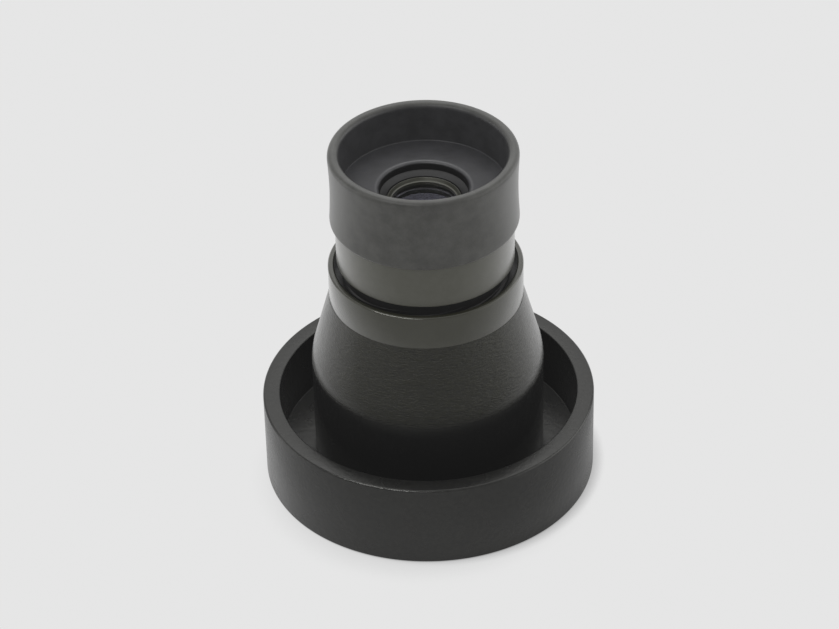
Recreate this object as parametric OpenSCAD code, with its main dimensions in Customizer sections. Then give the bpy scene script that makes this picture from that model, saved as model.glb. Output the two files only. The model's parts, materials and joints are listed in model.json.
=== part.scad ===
// Small prism monocular that stands on its objective end in a wide guard dish.
// Light enters through the dish floor and leaves through the eyecup, so +Z is the light's way.
// The origin is on the optical axis, on the surface that the dish stands on.
// The part that takes the most skill is the focusing train: a roof prism pair in its cage,
// and an eyepiece that slides on two guide screws while its sleeve turns on a helicoid.

/* [Base dish] */
// Outer diameter of the dish
dish_d = 78; // [74:0.5:90]
// Height of the dish wall above the table
dish_h = 21.1; // [15:0.1:26]
// Thickness of the dish wall
dish_wall = 4; // [3:0.1:5]
// Thickness of the dish floor
dish_floor = 5.8; // [5.2:0.1:7]
// Rounding of the inner edge of the rim
dish_round = 0.4; // [0.2:0.1:1.4]
// Bevel on the outer edges of the dish
dish_bevel = 0.35; // [0.2:0.05:0.8]
// Width of the land that the dish stands on
land_w = 5; // [3:0.5:8]
// Depth of the relief inside the land
relief_depth = 0.6; // [0.3:0.1:1]
// Height of the threaded ring that carries the body
ring_h = 4.5; // [3:0.5:6]
// Wall of the threaded ring
ring_wall = 2.5; // [2:0.1:3]

/* [Body shell] */
// Diameter of the lower body
body_d = 54.2; // [52.5:0.1:58]
// Wall of the shell
body_wall = 2.4; // [2:0.1:2.6]
// Height of the lower body up to the corner with the cone
body_h = 26.7; // [25:0.1:34]
// Height of the cone
cone_h = 16.5; // [13:0.1:20]
// How far the top of the cone stands out beyond the collar
neck_step = 0.05; // [0:0.05:0.5]
// Radius that blends the cone into the lower body
shoulder_r = 16; // [6:1:24]

/* [Focus collar and nut] */
// Height of the smooth collar
collar_h = 8.4; // [7:0.1:11]
// Wall of the collar
collar_wall = 1.45; // [1.2:0.05:1.8]
// Bevel on the rim of the collar
collar_bevel = 0.3; // [0.1:0.05:0.5]
// Wall of the focus nut
nut_wall = 1.73; // [1.4:0.01:2.5]
// How far the nut reaches down into the body
nut_depth = 4; // [3:0.5:5]
// Room between the nut and the sleeve at the end of the travel
nut_end_room = 1.2; // [0.4:0.1:2]
// Height of the lip that the nut stands on
nut_lip_h = 0.8; // [0.5:0.1:1.2]

/* [Focus sleeve and helicoid tube] */
// Wall of the focus sleeve over the helicoid tube
sleeve_wall = 1.23; // [1:0.01:1.6]
// Length of the sleeve that stays in sight
sleeve_h = 11; // [9:0.5:16]
// Gap between the sleeve and the collar at rest
sleeve_gap = 1.5; // [0.8:0.1:3]
// Bevel on the lower edge of the sleeve
sleeve_bevel = 0.3; // [0.1:0.05:0.5]
// Height of the sleeve's neck inside the eyecup
grip_h = 5.2; // [4.4:0.1:6]
// Width of the shoulder that the eyecup stands on
shoulder_w = 1.25; // [0.8:0.05:1.6]
// Wall of the neck around the eye cap's thread
grip_wall = 2; // [1.6:0.1:2.4]
// Depth of the groove for the eyecup's bead
groove_depth = 0.6; // [0.4:0.1:0.8]
// Thickness of the web that carries the eyepiece
web_t = 1.2; // [1:0.1:1.6]
// How far the web lies below the shoulder
web_drop = 0.7; // [0.4:0.1:1.2]
// Outer diameter of the helicoid tube
tube_d = 38.4; // [37.6:0.1:41]
// Wall of the helicoid tube
tube_wall = 1.3; // [1:0.1:1.4]
// How far the tube reaches below the top of the cone
tube_reach = 4.5; // [4:0.1:5]
// Travel of the eyepiece towards the body
travel_in = 3; // [2:0.1:3.2]
// Travel of the eyepiece away from the body
travel_out = 5; // [3:0.1:5.4]

/* [Eye cap and eyecup] */
// Opening of the eye cap
cap_open_d = 17; // [16.8:0.1:17.6]
// Thickness of the lip around that opening
cap_lip_t = 0.7; // [0.5:0.1:1]
// Thickness of the eyecup's foot around the neck
cup_foot_t = 2.4; // [2:0.1:3.6]
// Height of the eyecup
cup_h = 17.85; // [12:0.05:24]
// Depth of the eyecup's waist
cup_waist = 0.3; // [0:0.05:0.5]
// Thickness of the eyecup's rounded lip
cup_lip_t = 2.3; // [2:0.1:2.8]
// Widening of the inner wall from the lip down to the floor
cup_flare = 0.4; // [0:0.1:0.7]
// Thickness of the eyecup's floor
cup_floor_t = 2.8; // [1.6:0.1:3.6]
// Fillet between floor and inner wall
cup_fillet = 0.4; // [0.3:0.1:1.5]
// Diameter of the hole in the floor
cup_hole_d = 20.2; // [19:0.1:22]
// Rounding of the floor's edge at the hole
cup_hole_round = 0.9; // [0.3:0.1:1.4]

/* [Objective] */
// Diameter of the objective lenses
obj_d = 23; // [22:0.1:24]
// Clear opening of the objective cell
obj_clear_d = 20.4; // [19:0.1:21]
// Front radius of the crown lens
obj_r1 = 52.4; // [45:0.1:60]
// Radius of the cemented faces
obj_r2 = 37.8; // [34:0.1:42]
// Back radius of the flint lens
obj_r3 = 110; // [90:1:140]
// Centre thickness of the crown lens
obj_crown_t = 5.2; // [4.8:0.1:6]
// Centre thickness of the flint lens
obj_flint_t = 2.2; // [1.8:0.1:3]
// Thread diameter of the objective cell
cell_thread_d = 29; // [28:0.1:30]
// Diameter of the cell's flange
cell_flange_d = 31; // [30.6:0.1:31.4]
// Thickness of the cell's flange
cell_flange_t = 1.4; // [1:0.1:1.8]
// Diameter of the open recess in front of the objective
recess_d = 32; // [31.8:0.1:34]
// Depth of that recess
recess_depth = 3.2; // [2.6:0.1:3.6]
// How far the retaining ring is set back in the cell
obj_ring_set = 0.7; // [0.4:0.1:1]
// Thickness of the retaining ring
obj_ring_t = 1.7; // [1.5:0.1:2.2]
// Thickness of the shoulder behind the lenses
obj_shoulder_t = 1.5; // [1:0.1:2]
// Bevel around the opening of the retaining ring
obj_ring_bevel = 0.6; // [0.2:0.1:0.8]
// Wall of the cell where it stands clear of the boss
obj_cell_wall = 1.6; // [1:0.1:1.8]
// How far the cell stands out of the boss
boss_drop = 0.6; // [0.2:0.1:1]
// Width of the spanner notches in the retaining ring
notch_w = 1.4; // [1:0.1:2]
// Diameter of the boss that holds the cell
boss_d = 34.4; // [33:0.1:36]
// Wall of the light baffle
baffle_wall = 1.2; // [0.8:0.1:1.4]

/* [Prisms and cage] */
// Side of the square entrance face of the prisms
prism_d = 17; // [15:0.1:17.4]
// Air gap between the two prisms
prism_gap = 0.2; // [0.1:0.05:0.4]
// How far the exit face lies below the top of the cone
prism_drop = 3.8; // [3.4:0.1:4.6]
// Thickness of the cage's base plate
plate_t = 2.2; // [1.8:0.1:3]
// Thickness of the cage's cheeks
cheek_t = 2.6; // [2:0.1:3]
// Margin of the cheeks round the prisms
cheek_margin = 1; // [0.5:0.1:1.4]
// Diameter of the window in each cheek
window_d = 9; // [6:0.5:11]
// Thickness of the clamp plate over the prisms
clamp_t = 0.8; // [0.6:0.1:1]
// Height of the lugs that the cage is screwed to
lug_h = 5; // [4:0.5:6]
// Diameter of the lugs
lug_d = 5; // [4.6:0.1:6]
// Distance of the cage screws from the inside of the shell
lug_inset = 3.1; // [2.9:0.1:3.5]
// Thread diameter of the cage screws
screw_d = 2; // [1.6:0.1:2.4]
// Head diameter of the cage screws
screw_head_d = 3.8; // [3.4:0.1:4]
// Head height of the cage screws
screw_head_h = 1.3; // [1:0.1:1.6]
// Diameter of the guide screws
guide_d = 1.8; // [1.6:0.1:2]
// Distance of the guide screws from the axis
guide_r = 13.6; // [13.5:0.1:13.8]
// Head diameter of the guide screws
guide_head_d = 3.2; // [2.8:0.1:3.2]
// Head height of the guide screws
guide_head_h = 1.2; // [0.8:0.1:1.6]
// Diameter of the bosses that hold the guide screws
guide_boss_d = 4; // [3.8:0.1:4.4]
// Depth of the guide screws in their bosses
guide_grip = 8; // [6:0.5:10]

/* [Eyepiece] */
// Diameter of the eyepiece lenses
eye_d = 18.8; // [18:0.1:19]
// Face radius of the eye lens
eye_r1 = 80; // [60:1:120]
// Radius of the cemented faces of the eye lens
eye_r2 = 15; // [14.4:0.1:17]
// Back radius of the eye lens
eye_r3 = 22; // [20:0.1:28]
// Centre thickness of the flint half
eye_flint_t = 1.5; // [1.2:0.1:2]
// Centre thickness of the crown half
eye_crown_t = 6.6; // [6.4:0.1:7]
// Depth of the eye lens below the eye cap
eye_depth = 1.4; // [1.3:0.1:2]
// Radius of the field lens
field_r1 = 26; // [24:0.1:34]
// Centre thickness of the field lens
field_t = 3; // [2.8:0.1:3.6]
// Length of the spacer between field lens and eye lens
spacer_len = 6.1; // [5.6:0.1:7]
// Wall of that spacer
spacer_wall = 1.1; // [0.8:0.1:1.4]
// Opening of the field stop
stop_open_d = 14; // [12:0.1:15]
// Thickness of the field stop
stop_t = 1; // [0.6:0.1:1.4]
// Thickness of the ledge under the field stop
stop_ledge_t = 1.2; // [0.8:0.1:1.6]
// Wall of the cell round the lenses
eye_cell_wall = 1.1; // [0.9:0.1:1.3]
// Room between the thrust flange and the thread around it
thrust_room = 0.4; // [0.2:0.1:1]
// Thickness of the thrust flange
thrust_t = 1.6; // [1.2:0.1:1.8]
// Width of the thrust washer, on a web of the same opening
washer_w = 4.1; // [3:0.1:5]
// Thickness of the thrust washer
washer_t = 0.4; // [0.3:0.05:0.5]
// Opening of the skirt below the field stop
skirt_open_d = 17.2; // [16.8:0.1:17.4]
// Wall of the skirt
skirt_wall = 1.2; // [1:0.1:1.3]
// Diameter of the guide flange at the foot of the skirt
guide_flange_d = 32; // [31.6:0.1:33]
// Thickness of the guide flange
guide_flange_t = 2; // [1.5:0.1:2.5]
// Opening of the ring round the eye lens
eye_ring_open_d = 15.2; // [14.6:0.1:15.4]
// Outer diameter of that ring where it shows in the eye cap
eye_ring_d = 16.7; // [16.5:0.1:16.7]
// Flat land round the ring's bevel
eye_ring_land = 0.2; // [0.1:0.05:0.3]
// Depth of the bevel round the eye lens
eye_bevel = 0.9; // [0.6:0.1:1]
// How far the ring stays below the face of the eye cap
eye_ring_set = 0.2; // [0.1:0.05:0.4]

/* [Fits] */
// Radial clearance of threaded and pressed pieces
seat_gap = 0.02; // [0.01:0.01:0.03]
// Radial clearance of the helicoid and the guide screws
run_gap = 0.05; // [0.03:0.01:0.08]
// Axial play of the eyepiece in its sleeve
end_play = 0.05; // [0.02:0.01:0.1]
// Room left at the ends of the focus travel
stop_room = 0.2; // [0.1:0.05:0.3]

/* [Hidden] */
$fn = 96;
arc_steps = 8;
eps = 0.01;

dish_r = dish_d / 2;
dish_in_r = dish_r - dish_wall;
body_r = body_d / 2;
body_in_r = body_r - body_wall;
screw_ring_r = body_in_r - lug_inset;
cup_hole_r = cup_hole_d / 2;

// From the helicoid tube outwards to the nut, the collar and the top of the cone
tube_r = tube_d / 2;
tube_in_r = tube_r - tube_wall;
nut_in_r = tube_r + run_gap;
nut_r = nut_in_r + nut_wall;
collar_in_r = nut_r + seat_gap;
collar_r = collar_in_r + collar_wall;
neck_r = collar_r + neck_step;

// From the helicoid tube out to the sleeve, and from there in to the thrust flange
tube_bore_r = tube_r + seat_gap;
sleeve_r = tube_bore_r + sleeve_wall;
grip_r = sleeve_r - shoulder_w;
cup_r = grip_r + cup_foot_t;
cap_r = grip_r - grip_wall;
thrust_r = cap_r - thrust_room;
web_in_r = thrust_r - washer_w;

// Levels along the axis, each one built on the one below it
z_foot = dish_floor;
z_corner = z_foot + body_h;
z_neck = z_corner + cone_h;
z_collar = z_neck + collar_h;
z_sleeve = z_collar + sleeve_gap;
z_shoulder = z_sleeve + sleeve_h;
z_cap = z_shoulder + grip_h;
z_cup_floor = z_cap + cup_floor_t;
z_cup_top = z_shoulder + cup_h;
z_groove = z_shoulder + 0.3 * grip_h;
z_groove_top = z_shoulder + 0.7 * grip_h;

// Cone of the body: the angle between its flank and the axis
cone_angle = atan((body_r - neck_r) / cone_h);
shoulder_len = shoulder_r * tan(cone_angle / 2);
cone_slope = tan(cone_angle);

// Helicoid: nut and tube
z_nut = z_neck - nut_depth;
z_nut_top = z_sleeve - travel_in - nut_end_room;
nut_lip_r = nut_in_r + nut_wall / 2;
z_tube = z_neck - tube_reach;
z_web = z_shoulder - web_t - web_drop;
z_web_top = z_web + web_t;

// Prism pair in the plane of the fold, with the entrance face at height 0.
// The first prism bends the axis by 45 degrees and the roof prism bends it back into line.
half_angle = 22.5;
half_face = prism_d / 2;
gap_step = prism_gap / sqrt(2);
first_exit = prism_d * (0.5 + sqrt(2) / 4);
roof_in = half_face * sqrt(1 + 1 / (2 * pow(cos(half_angle), 2)));
roof_out = prism_d * sqrt(2) / 4 + roof_in / sqrt(2) - gap_step;
roof_side = sqrt(2) * (roof_in + roof_out);
apex_x = first_exit - half_face + roof_in / sqrt(2) - gap_step;
apex_z = first_exit + roof_in / sqrt(2) + gap_step;
top_cut_x = apex_x - sqrt(2) * (roof_in + half_face);
corner_cut = roof_out - half_face;
ridge_foot_x = apex_x - roof_side + apex_z * tan(half_angle);
first_right_x = half_face + prism_d * tan(half_angle);
first_top_x = first_exit + half_face / sqrt(2) - half_face;
first_top_z = first_exit + half_face / sqrt(2);

z_prism_top = z_neck - prism_drop;
z_prism = z_prism_top - apex_z;
cheek_room = 0.05;
cheek_y = half_face + cheek_room;
z_cheek_top = z_prism_top + 0.1;
z_clamp_top = z_cheek_top + clamp_t;
cage_room = 0.4;
clamp_r = tube_in_r - cage_room;
beam_r = half_face + 0.1;

// Guide train of the eyepiece
z_guide = z_clamp_top + travel_in + stop_room;
z_guide_top = z_guide + guide_flange_t;
z_guide_head = z_guide_top + travel_out + stop_room;
z_guide_end = z_cheek_top - guide_grip;

// Objective, from its flange upwards; rings and shoulders touch the glass at their openings
obj_r = obj_d / 2;
obj_bore_r = obj_r + seat_gap;
obj_clear_r = obj_clear_d / 2;
z_obj_ring = recess_depth + obj_ring_set;
z_obj = z_obj_ring + obj_ring_t;
function sag(face_r, edge_r) = face_r - sqrt(face_r * face_r - edge_r * edge_r);
z_crown_front = z_obj - sag(obj_r1, obj_clear_r);
z_cement = z_crown_front + obj_crown_t;
z_flint_back = z_cement + obj_flint_t;
z_obj_edge = z_flint_back - sag(obj_r3, obj_clear_r);
z_cell_top = z_obj_edge + obj_shoulder_t;
cell_thread_r = cell_thread_d / 2;
cell_flange_r = cell_flange_d / 2;
z_cell_seat = recess_depth + cell_flange_t;
z_boss = z_obj_edge - boss_drop;
baffle_r = obj_clear_r + baffle_wall;
z_plate = z_prism - plate_t;

// Eyepiece, from the eye cap downwards
eye_r = eye_d / 2;
eye_bore_r = eye_r + seat_gap;
eye_cell_r = eye_r + eye_cell_wall;
z_eye_front = z_cap - eye_depth;
z_eye_edge = z_eye_front - sag(eye_r1, eye_ring_open_d / 2);
z_eye_cement = z_eye_front - eye_flint_t;
z_eye_back = z_eye_cement - eye_crown_t;
spacer_in_r = eye_r - spacer_wall;
z_spacer_top = z_eye_back + sag(eye_r3, spacer_in_r);
z_spacer = z_spacer_top - spacer_len;
z_field_front = z_spacer + sag(field_r1, spacer_in_r);
z_field = z_field_front - field_t;
z_stop = z_field - stop_t;
z_barrel = z_stop - stop_ledge_t;
z_washer_top = z_web_top + washer_t;
z_thrust = z_washer_top + end_play;
z_thrust_top = z_thrust + thrust_t;
z_cap_foot = z_thrust_top + end_play;
z_cell_eye_top = z_cap - cap_lip_t - 0.1;
skirt_in_r = skirt_open_d / 2;
skirt_r = skirt_in_r + skirt_wall;
guide_flange_r = guide_flange_d / 2;
eye_ring_r = eye_ring_d / 2;
eye_ring_open_r = eye_ring_open_d / 2;
eye_ring_top_r = eye_ring_r - eye_ring_land;
z_eye_ring_top = z_cap - eye_ring_set;
cap_open_r = cap_open_d / 2;
cap_in_r = eye_cell_r + 0.1;

black_paint = [0.12, 0.12, 0.12];
black_alloy = [0.16, 0.16, 0.16];
satin_grey = [0.28, 0.28, 0.27];
rubber_grey = [0.2, 0.2, 0.21];
brass = [0.72, 0.58, 0.3];
steel = [0.65, 0.66, 0.68];
glass = [0.7, 0.85, 0.9, 0.4];

// Points of an arc in the plane of a turned outline
function arc(centre, r, from, to, steps = arc_steps) =
    [for (i = [0:steps]) centre + r * [cos(from + (to - from) * i / steps),
                                       sin(from + (to - from) * i / steps)]];

// A turned piece from half its outline
module turned(outline) {
    rotate_extrude()
        polygon(outline);
}

// A plain turned ring
module ring(in_r, out_r, low, high) {
    turned([[in_r, low], [out_r, low], [out_r, high], [in_r, high]]);
}

// A round hole or pin along Z
module round_bar(r, low, high) {
    translate([0, 0, low])
        cylinder(r = r, h = high - low, $fn = 48);
}

// Spaces its children evenly on a circle
module around(count, r, first = 0) {
    for (i = [0:count - 1])
        rotate([0, 0, first + i * 360 / count])
            translate([r, 0, 0])
                children();
}

// Two opposite notches for a pin spanner, across the face of a ring
module spanner_notches(r, low, high) {
    translate([-r, -notch_w / 2, low])
        cube([2 * r, notch_w, high - low]);
}

// The glass between two faces: a disc cut by the sphere of each face
module lens_disc(r, low, high) {
    translate([0, 0, low])
        cylinder(r = r, h = high - low, $fn = 128);
}

module face_ball(face_r, z) {
    translate([0, 0, z])
        sphere(r = face_r, $fn = 256);
}

module base_dish() {
    relief_r = dish_r - land_w;
    ring_r = body_in_r - seat_gap;
    color(black_paint)
        turned(concat(
            [[recess_d / 2, relief_depth], [relief_r, relief_depth], [relief_r + relief_depth, 0],
             [dish_r - dish_bevel, 0], [dish_r, dish_bevel], [dish_r, dish_h - dish_bevel],
             [dish_r - dish_bevel, dish_h]],
            arc([dish_in_r + dish_round, dish_h - dish_round], dish_round, 90, 180),
            [[dish_in_r, z_foot], [ring_r, z_foot], [ring_r, z_foot + ring_h],
             [ring_r - ring_wall, z_foot + ring_h], [ring_r - ring_wall, z_foot],
             [boss_d / 2, z_foot], [boss_d / 2, z_boss], [cell_thread_r, z_boss],
             [cell_thread_r, z_cell_seat], [cell_flange_r, z_cell_seat],
             [cell_flange_r, recess_depth], [recess_d / 2, recess_depth]]));
}

// Inside of the shell at a height on its cone
function shell_in_r(z) = min(body_in_r, body_in_r - (z - z_corner) * cone_slope);

module body_shell() {
    lug_top = z_prism + lug_h;
    color(black_paint)
        difference() {
            union() {
                turned(concat(
                    [[body_in_r, z_foot], [body_r, z_foot]],
                    arc([body_r - shoulder_r, z_corner - shoulder_len], shoulder_r, 0, cone_angle),
                    [[neck_r, z_neck], [collar_in_r, z_neck], [collar_in_r, z_nut],
                     [nut_lip_r, z_nut], [nut_lip_r, z_nut - nut_lip_h],
                     [shell_in_r(z_nut - nut_lip_h), z_nut - nut_lip_h],
                     [body_in_r, z_corner]]));
                intersection() {
                    around(3, screw_ring_r, 90)
                        translate([0, 0, z_prism])
                            union() {
                                cylinder(r = lug_d / 2, h = lug_h, $fn = 48);
                                translate([0, -lug_d / 2, 0])
                                    cube([lug_d, lug_d, lug_h]);
                            }
                    turned([[0, z_prism], [body_in_r + eps, z_prism],
                            [body_in_r + eps, z_corner + eps],
                            [shell_in_r(lug_top) + eps, max(lug_top, z_corner + 2 * eps)],
                            [0, max(lug_top, z_corner + 2 * eps)]]);
                }
            }
            around(3, screw_ring_r, 90)
                round_bar(screw_d / 2 + seat_gap, z_prism - 1, z_prism + lug_h + 1);
        }
}

module focus_collar() {
    color(satin_grey)
        turned([[collar_in_r, z_neck], [collar_r, z_neck], [collar_r, z_collar - collar_bevel],
                [collar_r - collar_bevel, z_collar], [collar_in_r + collar_bevel, z_collar],
                [collar_in_r, z_collar - collar_bevel]]);
}

module focus_nut() {
    color(black_alloy)
        ring(nut_in_r, nut_r, z_nut, z_nut_top);
}

module objective_cell() {
    flange_r = cell_flange_r - seat_gap;
    thread_r = cell_thread_r - seat_gap;
    neck = thread_r - obj_cell_wall;
    color(black_alloy)
        turned([[obj_bore_r, recess_depth], [flange_r, recess_depth], [flange_r, z_cell_seat],
                [thread_r, z_cell_seat], [thread_r, z_boss], [neck, z_boss], [neck, z_cell_top],
                [obj_clear_r, z_cell_top], [obj_clear_r, z_obj_edge], [obj_bore_r, z_obj_edge]]);
}

module objective_crown() {
    color(glass)
        intersection() {
            lens_disc(obj_r, z_crown_front - 1, z_cement + 1);
            face_ball(obj_r1, z_crown_front + obj_r1);
            face_ball(obj_r2, z_cement - obj_r2);
        }
}

module objective_flint() {
    edge_low = z_cement - sag(obj_r2, obj_r);
    color(glass)
        difference() {
            intersection() {
                lens_disc(obj_r, edge_low, z_flint_back + 1);
                face_ball(obj_r3, z_flint_back - obj_r3);
            }
            face_ball(obj_r2, z_cement - obj_r2);
        }
}

module objective_ring() {
    color(black_alloy)
        difference() {
            turned([[obj_clear_r + obj_ring_bevel, z_obj_ring], [obj_r, z_obj_ring],
                    [obj_r, z_obj], [obj_clear_r, z_obj],
                    [obj_clear_r, z_obj_ring + obj_ring_bevel]]);
            spanner_notches(obj_r + 1, z_obj_ring - 1, z_obj_ring + obj_ring_bevel);
        }
}

module light_baffle() {
    knife = obj_clear_r - beam_r;
    middle = (z_cell_top + z_plate) / 2;
    color(black_alloy)
        turned([[obj_clear_r, z_cell_top], [baffle_r, z_cell_top], [baffle_r, z_plate],
                [beam_r, z_plate], [obj_clear_r, z_plate - knife], [obj_clear_r, middle],
                [beam_r + knife / 2, middle], [obj_clear_r, middle - knife]]);
}

// Room for the cage inside the shell and inside the helicoid tube at its lowest
module cage_space() {
    step = z_tube - travel_in - cage_room;
    turned([[0, z_plate], [body_in_r - cage_room / 2, z_plate],
            [body_in_r - cage_room / 2, z_corner - cage_room],
            [shell_in_r(step) - cage_room, step], [clamp_r, step],
            [clamp_r, z_cheek_top], [0, z_cheek_top]]);
}

// Places an outline drawn in the plane of the fold, with its height as Z
module fold_plate(thickness) {
    translate([0, thickness / 2, z_prism])
        rotate([90, 0, 0])
            linear_extrude(height = thickness)
                children();
}

module cheek_outline() {
    m = cheek_margin;
    top = z_cheek_top - z_prism;
    root = -plate_t / 2;
    difference() {
        polygon([[ridge_foot_x - m, root], [half_face + m, root], [first_right_x + m, prism_d],
                 [apex_x + m, top], [top_cut_x - m, top],
                 [top_cut_x - corner_cut - m, apex_z - corner_cut]]);
        translate([0, prism_d * 0.62])
            circle(d = window_d);
    }
}

// One cheek of the cage, with the boss of its guide screw
module cage_cheek() {
    boss_low = z_guide_end - 2;
    boss_h = z_cheek_top - boss_low;
    translate([0, cheek_y + cheek_t / 2, 0])
        fold_plate(cheek_t)
            cheek_outline();
    translate([0, guide_r, boss_low])
        cylinder(d = guide_boss_d, h = boss_h, $fn = 48);
    translate([-guide_boss_d / 2, cheek_y, boss_low])
        cube([guide_boss_d, guide_r - cheek_y, boss_h]);
}

module prism_cage() {
    color(black_alloy)
        difference() {
            intersection() {
                union() {
                    ring(beam_r, body_in_r, z_plate, z_prism);
                    for (side = [0, 1])
                        mirror([0, side, 0])
                            cage_cheek();
                }
                cage_space();
            }
            around(3, screw_ring_r, 90)
                round_bar(screw_d / 2 + 0.1, z_plate - 1, z_prism + 1);
            around(2, guide_r, 90)
                round_bar(guide_d / 2 + seat_gap, z_guide_end, z_cheek_top + 1);
        }
}

module first_prism() {
    color(glass)
        fold_plate(prism_d)
            polygon([[-half_face, 0], [half_face, 0], [first_right_x, prism_d],
                     [first_top_x, first_top_z]]);
}

// The roof: two faces at a right angle that meet along the ridge
module roof_wedge() {
    reach = 4 * prism_d;
    translate([ridge_foot_x, 0, z_prism])
        rotate([0, -half_angle, 0])
            rotate([0, 0, -45])
                translate([0, 0, -reach / 2])
                    cube([reach, reach, reach]);
}

module roof_prism() {
    color(glass)
        intersection() {
            fold_plate(prism_d)
                polygon([[ridge_foot_x, 0], [apex_x - apex_z, 0], [apex_x, apex_z],
                         [top_cut_x, apex_z], [top_cut_x - corner_cut, apex_z - corner_cut]]);
            roof_wedge();
        }
}

module prism_clamp() {
    color(black_alloy)
        difference() {
            ring(beam_r, clamp_r, z_cheek_top, z_clamp_top);
            around(2, guide_r, 90)
                round_bar(guide_d / 2 + seat_gap, z_cheek_top - 1, z_clamp_top + 1);
        }
}

module cage_screws() {
    color(steel)
        around(3, screw_ring_r, 90)
            difference() {
                union() {
                    round_bar(screw_head_d / 2, z_plate - screw_head_h, z_plate);
                    round_bar(screw_d / 2, z_plate, z_prism + lug_h);
                }
                translate([-screw_head_d, -0.25, z_plate - screw_head_h - 1])
                    cube([2 * screw_head_d, 0.5, 1.5]);
            }
}

module guide_screws() {
    color(steel)
        around(2, guide_r, 90)
            difference() {
                union() {
                    round_bar(guide_d / 2, z_guide_end, z_guide_head);
                    round_bar(guide_head_d / 2, z_guide_head, z_guide_head + guide_head_h);
                }
                translate([-guide_head_d, -0.25, z_guide_head + guide_head_h - 0.5])
                    cube([2 * guide_head_d, 0.5, 1]);
            }
}

module eyepiece_cell() {
    color(black_alloy)
        difference() {
            turned([[skirt_in_r, z_guide], [guide_flange_r, z_guide],
                    [guide_flange_r, z_guide_top], [skirt_r, z_guide_top], [skirt_r, z_barrel],
                    [eye_cell_r, z_barrel], [eye_cell_r, z_thrust], [thrust_r, z_thrust],
                    [thrust_r, z_thrust_top], [eye_cell_r, z_thrust_top],
                    [eye_cell_r, z_cell_eye_top], [eye_bore_r, z_cell_eye_top],
                    [eye_bore_r, z_stop], [skirt_in_r, z_stop]]);
            around(2, guide_r, 90)
                round_bar(guide_d / 2 + run_gap, z_guide - 1, z_guide_top + 1);
        }
}

module eye_lens_flint() {
    edge_low = z_eye_cement - sag(eye_r2, eye_r);
    color(glass)
        difference() {
            intersection() {
                lens_disc(eye_r, edge_low, z_eye_front + 1);
                face_ball(eye_r1, z_eye_front - eye_r1);
            }
            face_ball(eye_r2, z_eye_cement - eye_r2);
        }
}

module eye_lens_crown() {
    color(glass)
        intersection() {
            lens_disc(eye_r, z_eye_back - 1, z_eye_cement + 1);
            face_ball(eye_r2, z_eye_cement - eye_r2);
            face_ball(eye_r3, z_eye_back + eye_r3);
        }
}

module lens_spacer() {
    color(black_alloy)
        ring(spacer_in_r, eye_r, z_spacer, z_spacer_top);
}

module field_lens() {
    color(glass)
        intersection() {
            lens_disc(eye_r, z_field, z_field_front + 1);
            face_ball(field_r1, z_field_front - field_r1);
        }
}

module field_stop() {
    stop_r = stop_open_d / 2;
    color(black_alloy)
        turned([[stop_r, z_field], [stop_r + stop_t * 0.8, z_stop], [eye_r, z_stop],
                [eye_r, z_field]]);
}

module eye_lens_ring() {
    color(satin_grey)
        turned([[eye_ring_open_r, z_eye_edge], [eye_r, z_eye_edge],
                [eye_r, z_cell_eye_top], [eye_ring_r, z_cell_eye_top],
                [eye_ring_r, z_eye_ring_top], [eye_ring_top_r, z_eye_ring_top],
                [eye_ring_open_r, z_eye_ring_top - eye_bevel]]);
}

module focus_sleeve() {
    color(satin_grey)
        turned([[tube_bore_r, z_sleeve], [sleeve_r - sleeve_bevel, z_sleeve],
                [sleeve_r, z_sleeve + sleeve_bevel], [sleeve_r, z_shoulder],
                [grip_r, z_shoulder], [grip_r, z_groove], [grip_r - groove_depth, z_groove],
                [grip_r - groove_depth, z_groove_top], [grip_r, z_groove_top], [grip_r, z_cap],
                [cap_r, z_cap], [cap_r, z_web_top], [web_in_r, z_web_top], [web_in_r, z_web],
                [tube_bore_r, z_web]]);
}

module helicoid_tube() {
    color(black_alloy)
        ring(tube_in_r, tube_r, z_tube, z_web);
}

module thrust_washer() {
    color(brass)
        ring(web_in_r, thrust_r, z_web_top, z_washer_top);
}

module eye_cap() {
    color(black_alloy)
        turned([[cap_in_r, z_cap_foot], [cap_r - seat_gap, z_cap_foot], [cap_r - seat_gap, z_cap],
                [cap_open_r, z_cap], [cap_open_r, z_cap - cap_lip_t],
                [cap_in_r, z_cap - cap_lip_t]]);
}

// Outside of the eyecup: a shallow waist between the foot and the lip
function cup_side(from, to, steps = 16) =
    [for (i = [0:steps]) let (s = i / steps)
        [cup_r - cup_waist * sin(180 * s), from + (to - from) * s]];

module eyecup() {
    lip_r = cup_lip_t / 2;
    lip_z = z_cup_top - lip_r;
    foot_r = 0.7;
    wall_r = cup_r - cup_lip_t + cup_flare;
    edge_r = cup_hole_r + cup_hole_round;
    bore_r = grip_r + seat_gap;
    color(rubber_grey)
        turned(concat(
            [[bore_r, z_shoulder]],
            arc([cup_r - foot_r, z_shoulder + foot_r], foot_r, -90, 0, 5),
            cup_side(z_shoulder + foot_r + eps, lip_z - eps),
            arc([cup_r - lip_r, lip_z], lip_r, 0, 180, 16),
            arc([wall_r - cup_fillet, z_cup_floor + cup_fillet], cup_fillet, 0, -90),
            arc([edge_r, z_cup_floor - cup_hole_round], cup_hole_round, 90, 180),
            [[cup_hole_r, z_cap], [bore_r, z_cap], [bore_r, z_groove_top - seat_gap],
             [bore_r - groove_depth, z_groove_top - seat_gap],
             [bore_r - groove_depth, z_groove + seat_gap],
             [bore_r, z_groove + seat_gap]]));
}

base_dish();
body_shell();
focus_collar();
focus_nut();
objective_cell();
objective_crown();
objective_flint();
objective_ring();
light_baffle();
prism_cage();
first_prism();
roof_prism();
prism_clamp();
cage_screws();
guide_screws();
eyepiece_cell();
eye_lens_flint();
eye_lens_crown();
lens_spacer();
field_lens();
field_stop();
eye_lens_ring();
focus_sleeve();
helicoid_tube();
thrust_washer();
eye_cap();
eyecup();
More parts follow.
